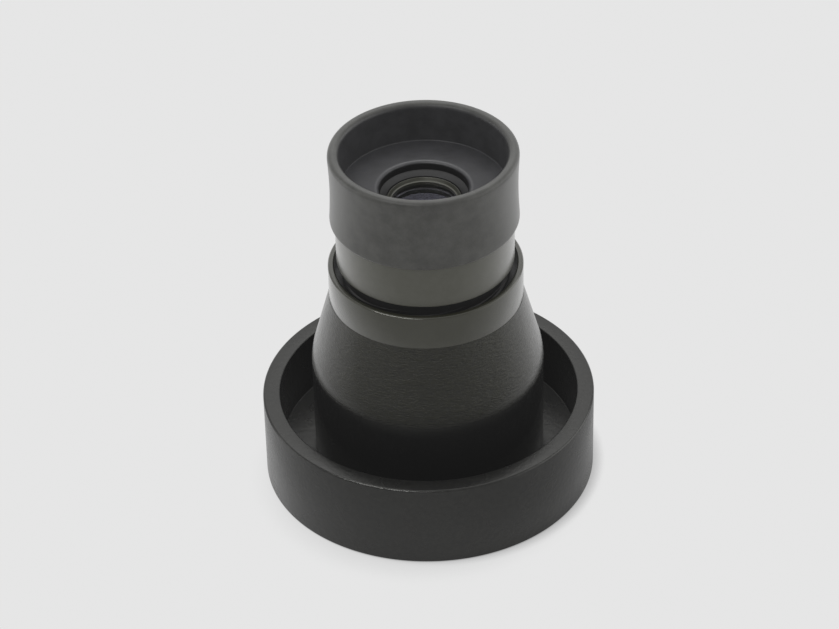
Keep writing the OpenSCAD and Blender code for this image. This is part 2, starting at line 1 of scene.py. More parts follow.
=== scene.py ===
# %% [markdown]
# A small prism monocular stands on its objective end in a wide black dish. From the table up it
# has the dish, a conical body in wrinkle paint, a smooth collar, the satin focus sleeve and a
# rubber eyecup with the eye lens deep inside. Nearly everything on it was made on a lathe, so
# nearly every piece below is half a section, drawn once and spun round the optical axis.
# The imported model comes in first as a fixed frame, and all pieces are set against it.

# %% Load the frame
import bpy
import json
import math
from mathutils import Matrix, Vector


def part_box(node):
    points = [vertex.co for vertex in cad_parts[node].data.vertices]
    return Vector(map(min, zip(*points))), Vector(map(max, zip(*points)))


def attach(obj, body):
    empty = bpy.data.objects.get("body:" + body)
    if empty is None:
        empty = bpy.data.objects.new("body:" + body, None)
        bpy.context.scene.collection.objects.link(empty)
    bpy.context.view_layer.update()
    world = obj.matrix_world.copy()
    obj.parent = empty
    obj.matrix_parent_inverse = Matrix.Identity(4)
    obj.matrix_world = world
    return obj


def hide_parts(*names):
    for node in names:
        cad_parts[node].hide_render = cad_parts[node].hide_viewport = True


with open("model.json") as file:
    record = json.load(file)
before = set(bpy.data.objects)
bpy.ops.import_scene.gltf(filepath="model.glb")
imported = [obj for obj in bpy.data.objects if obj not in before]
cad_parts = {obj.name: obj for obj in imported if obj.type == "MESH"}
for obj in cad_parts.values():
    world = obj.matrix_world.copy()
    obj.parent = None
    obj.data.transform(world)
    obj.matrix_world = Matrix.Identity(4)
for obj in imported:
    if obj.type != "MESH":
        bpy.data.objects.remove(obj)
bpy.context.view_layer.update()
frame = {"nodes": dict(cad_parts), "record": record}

# %% [markdown]
# All drawings of such an instrument are in millimetres, while Blender works in metres. One
# constant turns one into the other, so that the numbers below read as they do on a drawing, and
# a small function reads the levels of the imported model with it.

# %% Millimetres
MM = 0.001


def level(node, end):
    """Lowest (end 0) or highest (end 1) level of a CAD node, in millimetres."""
    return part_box(node)[end].z / MM


print("top of the eyecup at", round(level("eyecup", 1), 2), "mm")
print("top of the dish at", round(level("base_dish", 1), 2), "mm")

# %% [markdown]
# The camera stands in front and looks down at 36 degrees through a long lens, 0.74 m away. Its
# place was worked out from the ellipses in the photograph: the ratio of their axes gives the
# angle, and how their widths change with height gives the distance. It is built from its own
# axes here, because a slight roll and a small pan are easier to write that way than as angles.

# %% Camera
LOOK_DOWN = 0.6326
ROLL = -0.0241
PAN = -0.0023
DISTANCE = 737.8 * MM
AIM = Vector((0, 0, 42.16 * MM))
FOCAL_PIXELS = 3180.3
FRAME_PIXELS = 839
SENSOR = 36

ahead = Vector((0, math.cos(LOOK_DOWN), -math.sin(LOOK_DOWN)))
right = Vector((1, 0, 0))
place = AIM - ahead * DISTANCE
ahead_panned = (ahead + right * math.tan(PAN)).normalized()
right_panned = ahead_panned.cross(Vector((0, 0, 1))).normalized()
up_panned = right_panned.cross(ahead_panned)
right_rolled = right_panned * math.cos(ROLL) + up_panned * math.sin(ROLL)
up_rolled = up_panned * math.cos(ROLL) - right_panned * math.sin(ROLL)
turn = Matrix((right_rolled, up_rolled, -ahead_panned)).transposed()

bpy.ops.object.camera_add(location=place, rotation=turn.to_euler())
camera = bpy.context.object
camera.data.sensor_width = SENSOR
camera.data.lens = SENSOR * FOCAL_PIXELS / FRAME_PIXELS
camera.data.clip_start = 0.01
bpy.context.scene.camera = camera
bpy.context.scene.view_settings.view_transform = "Standard"
print("lens", round(camera.data.lens, 1), "mm at", [round(value, 3) for value in place])

# %% [markdown]
# Shader maths reads best as plain arithmetic. A Wire is one output of a node, and +, - and * on
# it add the Math nodes that a person would drag in by hand.

# %% Wires


class Wire:
    """One output of a node in a finish."""

    def __init__(self, finish, socket):
        self.finish = finish
        self.socket = socket

    def maths(self, operation, *values):
        sockets = {index: value for index, value in enumerate(values)}
        return self.finish.add("ShaderNodeMath", {"operation": operation}, sockets)

    def __add__(self, other):
        return self.maths("ADD", self, other)

    __radd__ = __add__

    def __mul__(self, other):
        return self.maths("MULTIPLY", self, other)

    __rmul__ = __mul__

    def __sub__(self, other):
        return self.maths("SUBTRACT", self, other)

    def __rsub__(self, other):
        return self.maths("SUBTRACT", other, self)


print("wires can be added, subtracted and multiplied")

# %% [markdown]
# A Finish is one material. Its method add() places any node, sets its options first and then
# fills or links its sockets. The other methods are the few nodes that every finish here needs:
# places in millimetres, noise, a range, a mix of two colours, a bump, the gloss of a surface that
# is seen at a flat angle, and the distance from the optical axis and the level above the table,
# which tell the parts of a turned piece from each other.

# %% Finishes


class Finish:
    """The node tree of one material, or of the world."""

    def __init__(self, owner):
        self.owner = owner
        owner.use_nodes = True
        self.tree = owner.node_tree
        self.tree.nodes.clear()

    def add(self, kind, options=None, sockets=None, output=0):
        node = self.tree.nodes.new(kind)
        for option, value in (options or {}).items():
            setattr(node, option, value)
        for socket, value in (sockets or {}).items():
            if isinstance(value, Wire):
                self.tree.links.new(value.socket, node.inputs[socket])
            else:
                node.inputs[socket].default_value = value
        return Wire(self, node.outputs[output]) if node.outputs else None

    def places(self, stretch=(1, 1, 1)):
        """Object coordinates in millimetres, stretched if wanted."""
        here = self.add("ShaderNodeTexCoord", output="Object")
        scale = [value / MM for value in stretch]
        return self.add("ShaderNodeMapping", {}, {"Vector": here, "Scale": scale})

    def noise(self, places, scale, detail=2.0, rough=0.5, distortion=0.0):
        sockets = {"Vector": places, "Scale": scale, "Detail": detail, "Roughness": rough,
                   "Distortion": distortion}
        return self.add("ShaderNodeTexNoise", {}, sockets)

    def band(self, value, low, high, to_low=0.0, to_high=1.0):
        """Maps low..high to to_low..to_high, clamped."""
        sockets = {"Value": value, "From Min": low, "From Max": high,
                   "To Min": to_low, "To Max": to_high}
        return self.add("ShaderNodeMapRange", {"clamp": True}, sockets)

    def blend(self, factor, first, second):
        """Mixes two colours."""
        sockets = {0: factor, 6: first, 7: second}
        return self.add("ShaderNodeMix", {"data_type": "RGBA"}, sockets, 2)

    def bump(self, height, depth, strength=1.0):
        """Bump from a height of 0..1 that stands for a depth in millimetres."""
        sockets = {"Height": height, "Distance": depth * MM, "Strength": strength}
        return self.add("ShaderNodeBump", {}, sockets)

    def gloss(self, most):
        """Coat weight that grows where the surface is seen at a flat angle."""
        facing = self.add("ShaderNodeLayerWeight", {}, {"Blend": 0.5}, "Facing")
        return self.band(facing, 0.25, 0.6, 0.0, most)

    def radius(self):
        """Distance from the optical axis in millimetres."""
        flat = self.places((1, 1, 0))
        return self.add("ShaderNodeVectorMath", {"operation": "LENGTH"}, {0: flat}, "Value")

    def height(self):
        """Level above the table in millimetres."""
        return self.add("ShaderNodeSeparateXYZ", {}, {0: self.places()}, "Z")

    def surface(self, **sockets):
        """Ends the tree in a Principled shader; base_color is its socket Base Color."""
        special = {"ior": "IOR", "specular_ior_level": "Specular IOR Level"}
        named = {special.get(key, key.replace("_", " ").title()): value
                 for key, value in sockets.items()}
        shader = self.add("ShaderNodeBsdfPrincipled", {}, named)
        self.add("ShaderNodeOutputMaterial", {}, {"Surface": shader})
        print(self.owner.name, "is made of", len(self.tree.nodes), "nodes")
        return self.owner


def new_finish(name):
    return Finish(bpy.data.materials.new(name))


# %% [markdown]
# Nearly everything on this object is black or dark grey, so most of what one sees is reflection.
# Even the blackest place in the photograph isn't quite black, because a lens scatters a little
# light over the whole picture. A very weak, even glow on the dark finishes stands for that veil.

# %% Greys


def grey(value, warm=0.0):
    """A near-neutral colour; warm is what red and green have over blue."""
    return (value + warm, value + warm, value, 1)


VEIL = {"emission_color": grey(0.0068), "emission_strength": 1.0}
print("the veil glows with", VEIL["emission_color"][0])

# %% [markdown]
# The dish has a hard black coat with a fine grain, like paint that was sprayed almost dry. One
# noise with grains of about a millimetre and finer gives the bump and a slight change of grey,
# and a wide, weak cloud keeps the gloss from being the same all over. The outer edge of the rim
# is rubbed smooth by handling, so it is the glossiest place and draws a bright line.

# %% Dish paint


def dish_paint():
    finish = new_finish("dish_paint")
    places = finish.places()
    grain = finish.noise(places, 0.9, 4, 0.7)
    cloud = finish.noise(places, 0.09, 2)
    colour = finish.blend(finish.band(grain, 0.35, 0.65), grey(0.003), grey(0.007, 0.0006))
    worn = finish.band(finish.radius(), 38.55, 38.75) * finish.band(finish.height(), 20.5, 20.8)
    rough = finish.band(cloud, 0.3, 0.7, 0.24, 0.32) * (1 - worn * 0.5)
    return finish.surface(base_color=colour, roughness=rough, specular_ior_level=0.36,
                          specular_tint=(1, 1, 0.96, 1),
                          normal=finish.bump(grain, 0.07, 1.0), **VEIL)


# %% [markdown]
# Wrinkle paint shrinks as it dries and leaves short worms of paint that run into each other. The
# photograph shows them fine, about a millimetre apart, and a good deal wider than high. A noise
# that is squeezed along the axis and slightly distorted gives such worms. They are only on the
# cone and its corner: the short cylinder underneath is smooth and black. At flat angles the worms
# are glossy, which a coat gives, and their reflections are slightly olive.

# %% Wrinkle paint


def wrinkle_paint():
    finish = new_finish("wrinkle_paint")
    worms = finish.noise(finish.places((1, 1, 3)), 0.8, 3, 0.6, 0.6)
    on_cone = finish.band(finish.height(), 29.5, 31.5)
    ridge = finish.band(worms, 0.36, 0.64) * on_cone
    colour = finish.blend(ridge, grey(0.005), grey(0.004, 0.003))
    rough = finish.band(on_cone, 0, 1, 0.18, 0.33)
    return finish.surface(base_color=colour, roughness=rough, specular_ior_level=0.34,
                          specular_tint=(1, 1, 0.9, 1),
                          coat_weight=finish.gloss(1.0) * on_cone, coat_roughness=0.25,
                          normal=finish.bump(ridge, 0.1, 1.0), **VEIL)


# %% [markdown]
# The collar and the sleeve are turned and anodised: smooth to the finger, with the faintest lines
# where the tool went round. Stretching a noise round the axis gives such lines, because its
# places change fast along the axis and slowly across it. A fine cloud varies the grey, and a coat
# makes the metal shine where it is seen at a flat angle.

# %% Satin anodised finishes


def satin(name, low, high, rough, warm=0.0, gloss=1.0, shine=0.4):
    finish = new_finish(name)
    lines = finish.noise(finish.places((0.03, 0.03, 5)), 1.0, 2, 0.5)
    cloud = finish.noise(finish.places(), 0.5, 4, 0.6)
    colour = finish.blend(finish.band(cloud, 0.3, 0.7), grey(low, warm), grey(high, warm))
    roughness = finish.band(lines, 0.3, 0.7, rough - 0.02, rough + 0.02)
    return finish.surface(base_color=colour, roughness=roughness, specular_ior_level=shine,
                          specular_tint=(1, 1, 1 - 10 * warm, 1),
                          coat_weight=finish.gloss(gloss), coat_roughness=0.25,
                          normal=finish.bump(lines, 0.002, 0.5), **VEIL)


# %% [markdown]
# The eyecup is soft black rubber with a very fine grain from the mould and a cloud of skin
# grease. Its lip and outside are handled, which makes them warmer in colour and shinier at flat
# angles. Its floor and inner wall are dull, cooler and painted darker: the cooler tone is that of
# unhandled rubber, and the darker grey is painted shade inside the cup. The wall of the opening
# is painted near-black as painted shade, and the rounded edge over it has a shine of its own.

# %% Rubber


def eyecup_rubber():
    finish = new_finish("eyecup_rubber")
    places = finish.places()
    grain = finish.noise(places, 3.0, 2, 0.5)
    cloud = finish.noise(places, 0.3, 6, 0.65)
    radius = finish.radius()
    # This mask is 1 on the lip and outside and 0 inside the cup. Inside, the rubber is cooler in
    # tone and painted darker, and the darker grey is painted shade.
    handled_and_unshaded = finish.band(radius, 18.9, 19.6)
    dark_tone_shaded_inside = finish.blend(handled_and_unshaded, grey(0.028, -0.002), grey(0.028, 0.003))
    light_tone_shaded_inside = finish.blend(handled_and_unshaded, grey(0.038, -0.003), grey(0.044, 0.004))
    skin_and_inner_shade = finish.blend(finish.band(cloud, 0.35, 0.65), dark_tone_shaded_inside, light_tone_shaded_inside)
    # Inside radius 10.12 mm the wall of the opening is painted near-black: painted shade in the
    # hole.
    colour = finish.blend(finish.band(radius, 10.12, 10.3), grey(0.006), skin_and_inner_shade)
    rough = finish.band(cloud, 0.3, 0.7, 0.36, 0.44)
    edge = finish.band(radius, 10.15, 10.3) * finish.band(radius, 10.9, 11.3, 1, 0)
    return finish.surface(base_color=colour, roughness=rough, specular_ior_level=0.3,
                          coat_weight=handled_and_unshaded * (finish.gloss(0.6) + 0.1) + edge * 0.5,
                          coat_roughness=0.35,
                          normal=finish.bump(grain, 0.03, 0.6), **VEIL)


# %% [markdown]
# Inside, most of the metal is dull black so that no stray light reaches the eye, and the satin
# recipe serves for it, darker, rougher and without the gloss at flat angles. Brass and steel are
# plain turned metal with tool lines. Glass needs little: a tint, an index, and on the coated
# lenses violet reflections, which is what their coating leaves.

# %% Inner finishes


def plain_metal(name, dark, light, rough):
    finish = new_finish(name)
    lines = finish.noise(finish.places((0.05, 0.05, 5)), 1.0, 3, 0.6)
    colour = finish.blend(finish.band(lines, 0.3, 0.7), dark, light)
    roughness = finish.band(lines, 0.3, 0.7, rough - 0.05, rough + 0.05)
    return finish.surface(base_color=colour, roughness=roughness, metallic=1.0,
                          normal=finish.bump(lines, 0.004, 0.5))


def glass(name, tint, reflection, ior):
    finish = new_finish(name)
    cloud = finish.noise(finish.places(), 0.15, 2)
    rough = finish.band(cloud, 0.3, 0.7, 0.0, 0.02)
    return finish.surface(base_color=tint, roughness=rough, ior=ior, transmission_weight=1.0,
                          specular_tint=reflection)


# %% [markdown]
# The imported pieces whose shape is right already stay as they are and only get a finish. The
# record says which slot each piece takes its finish from, so one dictionary and one loop dress
# them all.

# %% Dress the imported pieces
finishes = {
    "dish_paint": dish_paint(),
    "wrinkle_paint": wrinkle_paint(),
    "collar_satin": satin("collar_satin", 0.006, 0.011, 0.18, warm=0.006, shine=0.55),
    "sleeve_satin": satin("sleeve_satin", 0.024, 0.031, 0.3, warm=0.008, shine=0.6),
    "lens_ring_satin": satin("lens_ring_satin", 0.024, 0.03, 0.3, warm=0.008),
    "eyecup_rubber": eyecup_rubber(),
    "black_alloy": satin("black_alloy", 0.008, 0.012, 0.4, gloss=0.0),
    "washer_brass": plain_metal("washer_brass", (0.45, 0.28, 0.08, 1),
                                (0.55, 0.36, 0.12, 1), 0.35),
    "screw_steel": plain_metal("screw_steel", (0.30, 0.30, 0.31, 1),
                               (0.42, 0.42, 0.43, 1), 0.3),
    "coated_glass": glass("coated_glass", (0.93, 0.95, 0.9, 1), (0.75, 0.72, 1.0, 1), 1.6),
    "lens_black": satin("lens_black", 0.004, 0.006, 0.6, gloss=0.0),
    "prism_glass": glass("prism_glass", (0.93, 0.96, 0.94, 1), (1, 1, 1, 1), 1.52),
}
for node in frame["nodes"].values():
    slot = next(part["material_slot"] for part in frame["record"]["subparts"]
                if part["node"] == node.name)
    node.data.materials.clear()
    node.data.materials.append(finishes[slot])
print(len(finishes), "finishes on", len(frame["nodes"]), "nodes")

# %% [markdown]
# A lathe piece starts as a single point: a plane that is merged to its middle. The point is
# extruded from corner to corner until the half section is drawn, and corners are then rounded
# with a vertex bevel. The section of a solid piece starts and ends on the axis and stays open.

# %% Draw a section
MERGE = 0.001 * MM
SAME_CORNER = 0.002


def only(piece):
    """Selects one object and nothing else."""
    bpy.ops.object.select_all(action="DESELECT")
    piece.select_set(True)
    bpy.context.view_layer.objects.active = piece


def pick(piece, wanted):
    """In edit mode, selects the vertices whose place in millimetres passes a test."""
    bpy.ops.mesh.select_all(action="DESELECT")
    bpy.ops.object.mode_set(mode="OBJECT")
    for vertex in piece.data.vertices:
        vertex.select = wanted(vertex.co / MM)
    bpy.ops.object.mode_set(mode="EDIT")


def draw_section(name, corners, rounds=None, closed=True):
    """Draws a half section of (radius, height) corners, with rounds = {corner: size}."""
    bpy.ops.object.select_all(action="DESELECT")
    bpy.ops.mesh.primitive_plane_add(size=1 * MM, location=(0, 0, 0))
    piece = bpy.context.object
    piece.name = name
    bpy.ops.object.mode_set(mode="EDIT")
    bpy.ops.mesh.select_all(action="SELECT")
    bpy.ops.mesh.merge(type="CENTER")
    radius, height = corners[0]
    bpy.ops.transform.translate(value=(radius * MM, 0, height * MM))
    path = corners[1:] + corners[:1] if closed else corners[1:]
    for next_radius, next_height in path:
        step = ((next_radius - radius) * MM, 0, (next_height - height) * MM)
        bpy.ops.mesh.extrude_region_move(TRANSFORM_OT_translate={"value": step})
        radius, height = next_radius, next_height
    bpy.ops.mesh.select_all(action="SELECT")
    bpy.ops.mesh.remove_doubles(threshold=MERGE)
    for corner, size in (rounds or {}).items():
        spot = Vector((corners[corner][0], 0, corners[corner][1]))
        pick(piece, lambda place: (place - spot).length < SAME_CORNER)
        bpy.ops.mesh.bevel(offset=size * MM, segments=6 if size > 0.3 else 3, affect="VERTICES")
    print(name, "is drawn with", len(corners), "corners")
    return piece


# %% [markdown]
# The section is then spun round the optical axis, the seam is merged, and all faces are turned
# outwards. A finished piece gets its finish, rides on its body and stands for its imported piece.
# Wide pieces are spun in more steps, so that their outline stays round in a close view.

# %% Spin and seat
WIDE_STEPS = 256
EDGE_ANGLE = 32


def spin(piece, steps=192, edge_angle=EDGE_ANGLE):
    """Spins the section round the optical axis and closes seam and poles."""
    bpy.ops.mesh.select_all(action="SELECT")
    bpy.ops.mesh.spin(steps=steps, angle=2 * math.pi, center=(0, 0, 0), axis=(0, 0, 1))
    bpy.ops.mesh.select_all(action="SELECT")
    bpy.ops.mesh.remove_doubles(threshold=MERGE)
    bpy.ops.mesh.normals_make_consistent(inside=False)
    bpy.ops.object.mode_set(mode="OBJECT")
    only(piece)
    bpy.ops.object.shade_smooth_by_angle(angle=math.radians(edge_angle))
    return piece


def seat(piece, body, slot, *nodes):
    """Gives a piece its finish and its body, and lets it stand for its CAD nodes."""
    piece.data.materials.clear()
    piece.data.materials.append(finishes[slot])
    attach(piece, body)
    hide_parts(*nodes)
    print(piece.name, "has", len(piece.data.polygons), "faces and stands for", ", ".join(nodes))


# %% [markdown]
# The dish carries everything. Its rim has a narrow bevel outside, which catches the light as one
# bright line, and a rounder edge inside. Underneath it stands on a ring-shaped land, and the
# recess in front of the objective has the fine thread of a filter.

# %% Guard dish
DISH_RADIUS = 39.0
DISH_TOP = 21.1
DISH_WALL = 35.0
TROUGH = 5.8
RECESS = 16.0
THREAD_PITCH = 0.75
THREAD_TURNS = 3
GROOVE = 16.24
filter_thread = []
for turn_number in range(THREAD_TURNS):
    foot = 2.95 - turn_number * THREAD_PITCH
    filter_thread += [(RECESS, foot), (GROOVE, foot - 0.3), (GROOVE, foot - 0.4),
                      (RECESS, foot - 0.7)]
dish_section = [
    (RECESS, 0.6), (34.0, 0.6), (34.6, 0), (38.65, 0), (DISH_RADIUS, 0.35),
    (DISH_RADIUS, 20.75), (38.65, DISH_TOP), (DISH_WALL, DISH_TOP), (DISH_WALL, TROUGH),
    (24.68, TROUGH), (24.68, 10.3), (22.18, 10.3), (22.18, TROUGH), (17.2, TROUGH),
    (17.2, 10.6), (14.5, 10.6), (14.5, 4.6), (15.5, 4.6), (15.5, 3.2), (RECESS, 3.2),
] + filter_thread
guard_dish = draw_section("guard_dish", dish_section, {2: 0.1, 3: 0.1, 4: 0.1, 5: 0.12, 6: 0.12,
                                                       7: 0.35, 8: 0.25})
seat(spin(guard_dish, WIDE_STEPS), "housing", "dish_paint", "base_dish")

# %% [markdown]
# The body is a thin shell: a short cylinder, a soft corner and a cone that ends under the
# collar. The corner is one vertex of the section, rounded wide. Inside, it has the ledge for the
# focus nut.

# %% Body shell
BODY_RADIUS = 27.1
CORNER = 32.5
CONE_TOP = 49.0
shell_section = [
    (24.7, TROUGH), (BODY_RADIUS, TROUGH), (BODY_RADIUS, CORNER), (22.5, CONE_TOP),
    (21.0, CONE_TOP), (21.0, 45.0), (20.115, 45.0), (20.115, 44.2), (21.44, 44.2),
    (24.7, CORNER),
]
body_shell = draw_section("cone_body", shell_section, {1: 0.1, 2: 2.19, 3: 0.06})
seat(spin(body_shell, WIDE_STEPS), "housing", "wrinkle_paint", "body_shell")

# %% [markdown]
# The collar is a plain smooth ring, and its top edge has the second bright line in the picture.
# The sleeve above it turns to focus. Its upper neck is hidden by the eyecup and holds it with a
# groove.

# %% Collar and sleeve
COLLAR_RADIUS = 22.45
COLLAR_TOP = 57.4
collar_section = [(21.0, CONE_TOP), (COLLAR_RADIUS, CONE_TOP), (COLLAR_RADIUS, 57.1),
                  (22.15, COLLAR_TOP), (21.3, COLLAR_TOP), (21.0, 57.1)]
collar = draw_section("smooth_collar", collar_section, {1: 0.05, 2: 0.08, 3: 0.08, 4: 0.05})
seat(spin(collar, WIDE_STEPS), "housing", "collar_satin", "focus_collar")

SLEEVE_RADIUS = 20.45
SLEEVE_FOOT = 58.9
SHOULDER = 69.9
TUBE_TOP = 68.0
CAP_TOP = 75.1
sleeve_section = [
    (19.22, SLEEVE_FOOT), (20.15, SLEEVE_FOOT), (SLEEVE_RADIUS, 59.2),
    (SLEEVE_RADIUS, SHOULDER), (19.2, SHOULDER), (19.2, 71.46), (18.6, 71.46), (18.6, 73.54),
    (19.2, 73.54), (19.2, CAP_TOP), (17.2, CAP_TOP), (17.2, 69.2), (12.7, 69.2),
    (12.7, TUBE_TOP), (19.22, TUBE_TOP),
]
sleeve = draw_section("turning_sleeve", sleeve_section, {1: 0.08, 2: 0.08})
seat(spin(sleeve, WIDE_STEPS), "focus_sleeve", "sleeve_satin", "focus_sleeve")

# %% [markdown]
# The tube under the sleeve carries the focusing thread, which shows in the gap when the sleeve is
# turned out. It has eight starts, so that two thirds of a turn move the eyepiece through all its
# travel. One lead of its profile, eight ridges high, is drawn as an open line and wound up round
# the axis three times with a Screw modifier, each turn joining the one below.

# %% Helicoid thread
LEAD = 12.0
STARTS = 8
CORE = 18.75
CREST = 19.2
LOWEST = 32.25
profile = [(CORE, LOWEST)]
for start in range(STARTS):
    root = LOWEST + start * LEAD / STARTS
    profile += [(CORE, root + 0.4), (CREST, root + 0.7), (CREST, root + 1.0), (CORE, root + 1.3)]
profile.append((CORE, LOWEST + LEAD))
helicoid = draw_section("helicoid_thread", profile, closed=False)
bpy.ops.object.mode_set(mode="OBJECT")
only(helicoid)
wind = helicoid.modifiers.new("thread", "SCREW")
wind.axis, wind.angle, wind.screw_offset = "Z", 2 * math.pi, LEAD * MM
wind.iterations, wind.steps, wind.render_steps = 3, 96, 96
wind.use_smooth_shade = False
bpy.ops.object.modifier_apply(modifier=wind.name)
print("the thread is wound to", len(helicoid.data.polygons), "faces")

# %% [markdown]
# The wound thread is longer than the tube, so that both cuts go through whole turns and the fill
# of the bisect closes them. Above the upper cut the tube is a plain neck, because the photograph
# shows no thread in the gap at rest. The neck is joined on, and then both are bored.

# %% Cut, neck and bore
THREAD_FOOT = 44.5
THREAD_END = 56.6
bpy.ops.object.mode_set(mode="EDIT")
bpy.ops.mesh.select_all(action="SELECT")
bpy.ops.mesh.remove_doubles(threshold=MERGE)
for height, upper in ((THREAD_FOOT, False), (THREAD_END, True)):
    bpy.ops.mesh.select_all(action="SELECT")
    bpy.ops.mesh.bisect(plane_co=(0, 0, height * MM), plane_no=(0, 0, 1), use_fill=True,
                        clear_inner=not upper, clear_outer=upper, threshold=0.0001 * MM)
bpy.ops.mesh.select_all(action="SELECT")
bpy.ops.mesh.normals_make_consistent(inside=False)
bpy.ops.object.mode_set(mode="OBJECT")
for name, radius, low, high, operation in (
        ("helicoid_neck", 19.1, 56.0, TUBE_TOP, "UNION"),
        ("helicoid_bore", 17.9, 40.0, 72.0, "DIFFERENCE")):
    outline = [(0, low), (radius, low), (radius, high), (0, high)]
    tool = spin(draw_section(name, outline, closed=False))
    only(helicoid)
    step = helicoid.modifiers.new(name, "BOOLEAN")
    step.operation, step.solver, step.object = operation, "EXACT", tool
    bpy.ops.object.modifier_apply(modifier=name)
    bpy.data.objects.remove(tool)
bpy.ops.object.shade_smooth_by_angle(angle=math.radians(EDGE_ANGLE))
seat(helicoid, "focus_sleeve", "black_alloy", "helicoid_tube")

# %% [markdown]
# The eyecup is one piece of moulded rubber, so it has no sharp edge at all: a full round lip, a
# shallow waist, a small fillet between wall and floor, and a flat floor with a rounded edge at
# the opening. Its foot has a bead that snaps into the groove of the sleeve.

# %% Eyecup
CUP_RADIUS = 21.6
CUP_TOP = 87.75
CUP_WALL = 19.0
CUP_FLOOR = 77.9
CUP_SEAT = 19.22
OPENING = 10.1
WAIST_DEPTH = 0.3
WAIST_STEPS = 16
waist = [(CUP_RADIUS - WAIST_DEPTH * math.sin(math.pi * i / WAIST_STEPS),
          70.7 + 15.7 * i / WAIST_STEPS) for i in range(WAIST_STEPS + 1)]
foot = [(CUP_SEAT, 73.52), (18.62, 73.52), (18.62, 71.48), (CUP_SEAT, 71.48),
        (CUP_SEAT, SHOULDER), (CUP_RADIUS, SHOULDER)]
lip = [(CUP_RADIUS, CUP_TOP), (CUP_WALL, CUP_TOP), (CUP_WALL, CUP_FLOOR)]
opening = [(OPENING, CUP_FLOOR), (OPENING, CAP_TOP), (CUP_SEAT, CAP_TOP)]
eyecup_section = foot + waist + lip + opening
lip_at = len(foot) + len(waist)
eyecup = draw_section("rubber_eyecup", eyecup_section, {
    5: 0.5, lip_at: 1.1, lip_at + 1: 1.3, lip_at + 2: 0.3, lip_at + 3: 0.9})
seat(spin(eyecup, WIDE_STEPS, 50), "focus_sleeve", "eyecup_rubber", "eyecup")

# %% [markdown]
# Under the opening of the eyecup lies the eye cap, a black ring with a tapered ledge that holds
# the eyepiece down. Inside it sits the ring that frames the eye lens. It has a steep bevel and a
# flatter one at its inner edge, which draw light lines round the glass.

# %% Eye cap and eye lens ring
cap_section = [(10.6, 71.3), (17.18, 71.3), (17.18, CAP_TOP), (10.05, CAP_TOP), (10.05, 75.9),
               (8.6, 75.0), (8.6, 74.4), (10.6, 74.4)]
eye_cap = draw_section("eye_cap_ring", cap_section, {4: 0.05, 5: 0.1})
seat(spin(eye_cap), "focus_sleeve", "black_alloy", "eye_cap")

bezel_section = [(7.5, 73.36), (9.4, 73.36), (9.4, 74.3), (8.35, 74.3), (8.35, 74.9),
                 (8.2, 74.9), (7.85, 74.25), (7.5, 74.12)]
bezel = draw_section("eye_lens_bezel", bezel_section, {4: 0.05, 5: 0.05, 6: 0.08})
seat(spin(bezel), "lens_cell", "lens_ring_satin", "eye_lens_ring")

# %% [markdown]
# A cemented pair of lenses acts as one block of glass, because the cement has nearly the same
# index. Each pair is therefore one closed piece here: only its front face, its ground edge and
# its back face meet air. Each face is an arc of the section, so the reflections in it are round.
# The edge of the eye lens is blackened, as lens makers do against stray light, together with the
# part of its back that lies outside the clear opening.

# %% Eye lens and objective


def face(radius, edge, vertex, bulge, steps=20):
    """Points of a spherical face from the axis to its edge; bulge 1 is up, -1 is down."""
    points = []
    for i in range(steps + 1):
        r = edge * i / steps
        drop = radius - math.sqrt(radius * radius - r * r)
        points.append((r, vertex - bulge * drop))
    return points


def blacken(lens, clear, below):
    """Blackens the edge of a lens and what lies outside the clear radius of its hidden face."""
    lens.data.materials.append(finishes["lens_black"])
    count = 0
    for polygon in lens.data.polygons:
        radius = math.hypot(polygon.center.x, polygon.center.y) / MM
        if radius > clear and polygon.center.z < below * MM:
            polygon.material_index = 1
            count += 1
    print(count, "faces blackened on", lens.name)


eye_lens_section = face(80, 9.4, 73.7, 1) + face(22, 9.4, 65.6, -1)[::-1]
eye_lens = draw_section("eye_lens", eye_lens_section, closed=False)
seat(spin(eye_lens), "lens_cell", "coated_glass", "eye_lens_flint", "eye_lens_crown")
blacken(eye_lens, 7.4, 73.3)

objective_section = face(110, 11.5, 12.0, 1) + face(52.4, 11.5, 4.598, -1)[::-1]
objective = draw_section("objective_lens", objective_section, closed=False)
seat(spin(objective), "housing", "coated_glass", "objective_crown", "objective_flint")

# %% [markdown]
# The monocular stands on a plain pale surface with no horizon. A large disc does that. Camera,
# glossy and see-through rays meet an even pale grey, and all other rays meet a plain diffuse
# floor of the same grey. Two ambient occlusion nodes darken the even grey close to the dish as a
# painted shadow: one makes a narrow dark seam, deepest on the right, and one a wider, softer
# shadow in front. In reflections the floor to the right of the dish carries a little more painted
# shadow, or the side of the dish that mirrors it would get too light.

# %% Floor
PALE = 0.79
FLOOR_RADIUS = 4


def openness(finish, reach, lean):
    """How open a place on the floor is, within a reach in millimetres."""
    normal = finish.add("ShaderNodeCombineXYZ", {}, dict(zip("XYZ", lean)))
    sockets = {"Distance": reach * MM, "Normal": normal}
    return finish.add("ShaderNodeAmbientOcclusion", {"samples": 16}, sockets, "AO")


